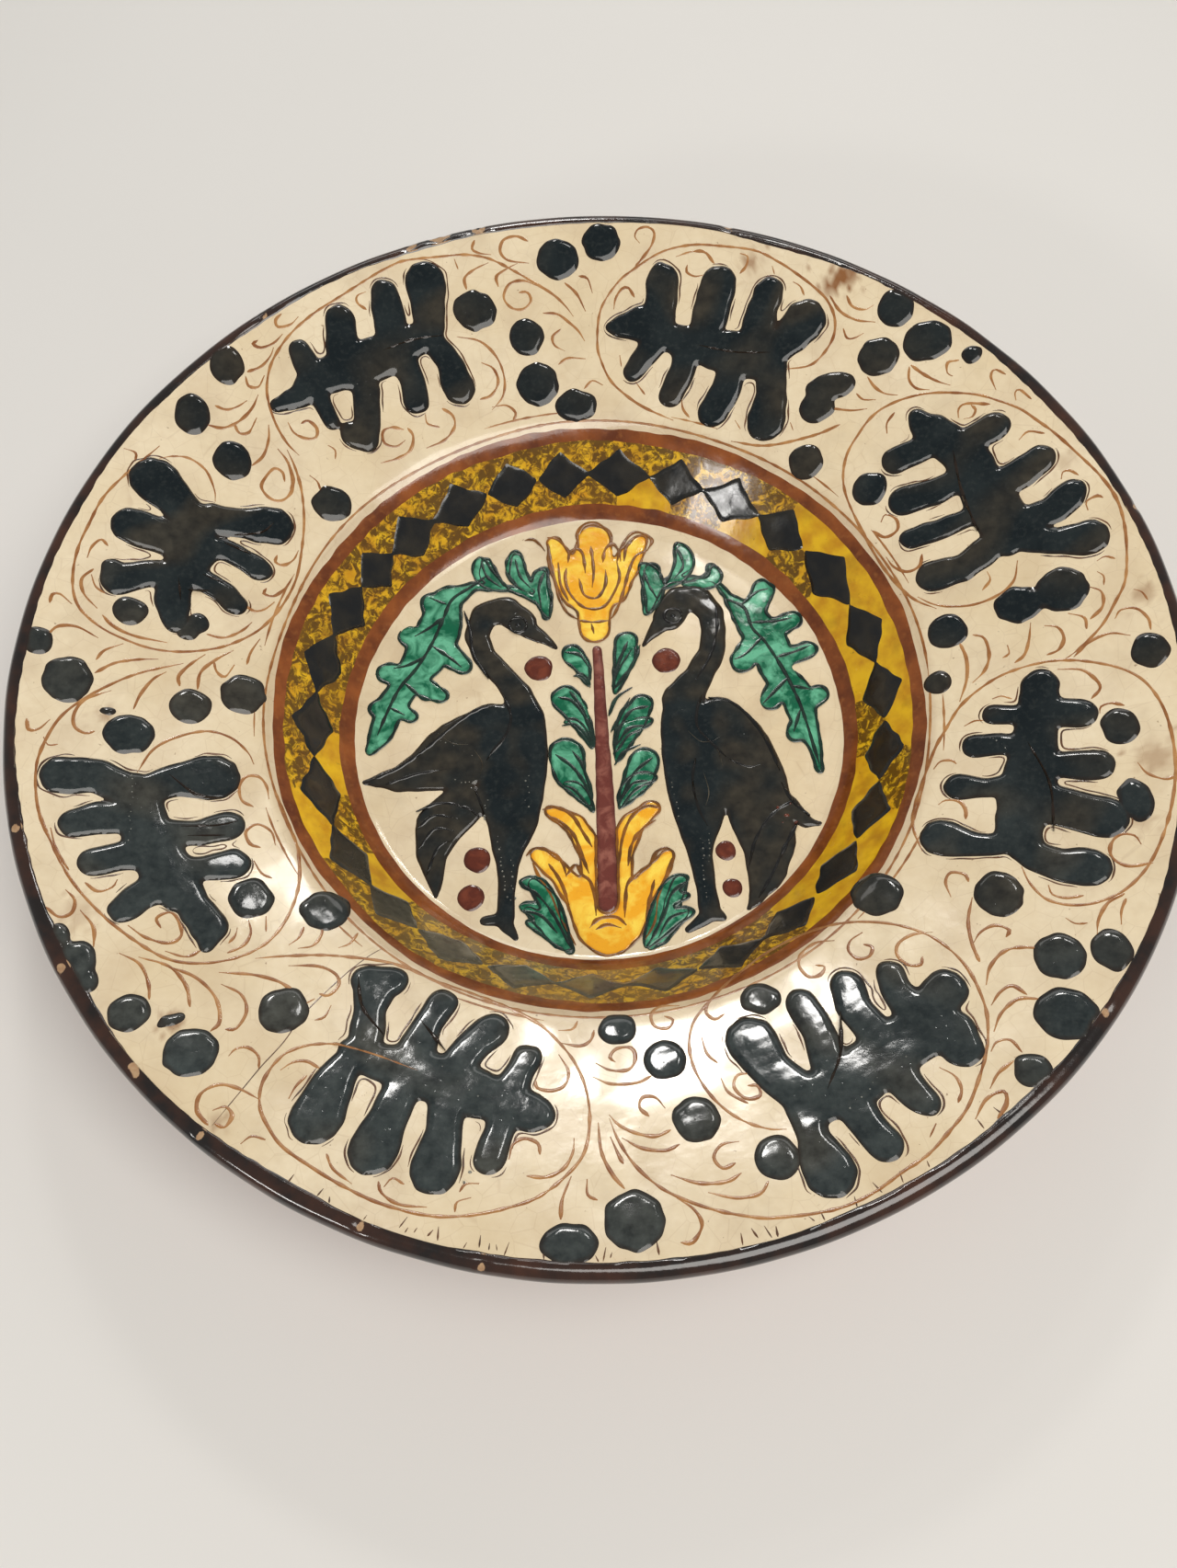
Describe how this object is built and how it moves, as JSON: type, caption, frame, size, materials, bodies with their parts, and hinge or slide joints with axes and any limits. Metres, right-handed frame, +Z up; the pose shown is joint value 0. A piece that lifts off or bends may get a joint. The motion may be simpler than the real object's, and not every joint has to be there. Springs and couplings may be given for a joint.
{
  "type": "hand painted ceramic plate",
  "caption": "Deep wide-rimmed earthenware dish with a foot ring, cream slip ground and raised trailed glaze painting: lobed leaves and dots round the rim, two birds and tulips in the well.",
  "frame": {"origin": "on the table plane, under the middle of the foot ring", "axes": "+Z up along the dish's axis of turning; +Y towards the top of the painting, +X to its right"},
  "size_m": [0.3516, 0.3516, 0.0618],
  "materials": {
    "clay": "matte, unglazed red-brown earthenware",
    "lip_glaze": "glossy dark brown glaze, chipped to the clay in places",
    "cream_slip": "cream slip under clear gloss, finely mottled",
    "brown_slip": "glossy red-brown slip band, uneven in depth",
    "yellow_slip": "ochre yellow slip mottled with brown, glossy",
    "dark_glaze": "thick domed blue-black glaze, high gloss",
    "green_glaze": "green glaze, paler in the middle, dark at the edges",
    "orange_glaze": "orange-yellow glaze with brown lines",
    "stem_glaze": "plum-brown glaze, glossy",
    "red_glaze": "red-brown glaze, glossy"
  },
  "bodies": {
    "root": {"clay_body": "clay", "lip_glaze": "lip_glaze", "rim_slip": "cream_slip", "well_edge_ring": "brown_slip", "wall_slip": "yellow_slip", "floor_ring": "brown_slip", "floor_slip": "cream_slip", "wall_diamonds": "dark_glaze", "base_leaf_left": "green_glaze", "base_leaf_right": "green_glaze", "bird_left": "dark_glaze", "bird_right": "dark_glaze", "flower_stem": "stem_glaze", "red_dot_1": "red_glaze", "red_dot_2": "red_glaze", "red_dot_3": "red_glaze", "red_dot_4": "red_glaze", "red_dot_5": "red_glaze", "red_dot_6": "red_glaze", "rim_dot_1": "dark_glaze", "rim_dot_2": "dark_glaze", "rim_dot_3": "dark_glaze", "rim_dot_4": "dark_glaze", "rim_dot_5": "dark_glaze", "rim_dot_6": "dark_glaze", "rim_dot_7": "dark_glaze", "rim_dot_8": "dark_glaze", "rim_dot_9": "dark_glaze", "rim_dot_10": "dark_glaze", "rim_dot_11": "dark_glaze", "rim_dot_12": "dark_glaze", "rim_dot_13": "dark_glaze", "rim_dot_14": "dark_glaze", "rim_dot_15": "dark_glaze", "rim_dot_16": "dark_glaze", "rim_dot_17": "dark_glaze", "rim_dot_18": "dark_glaze", "rim_dot_19": "dark_glaze", "rim_dot_20": "dark_glaze", "rim_dot_21": "dark_glaze", "rim_dot_22": "dark_glaze", "rim_dot_23": "dark_glaze", "rim_leaf_1": "dark_glaze", "rim_leaf_2": "dark_glaze", "rim_leaf_3": "dark_glaze", "rim_leaf_4": "dark_glaze", "rim_leaf_5": "dark_glaze", "rim_leaf_6": "dark_glaze", "rim_leaf_7": "dark_glaze", "rim_leaf_8": "dark_glaze", "spray_left": "green_glaze", "spray_right": "green_glaze", "stem_leaf_1": "green_glaze", "stem_leaf_2": "green_glaze", "stem_leaf_3": "green_glaze", "stem_leaf_4": "green_glaze", "stem_leaf_5": "green_glaze", "stem_leaf_6": "green_glaze", "tulip_base": "orange_glaze", "tulip_top": "orange_glaze"}
  },
  "joints": []
}
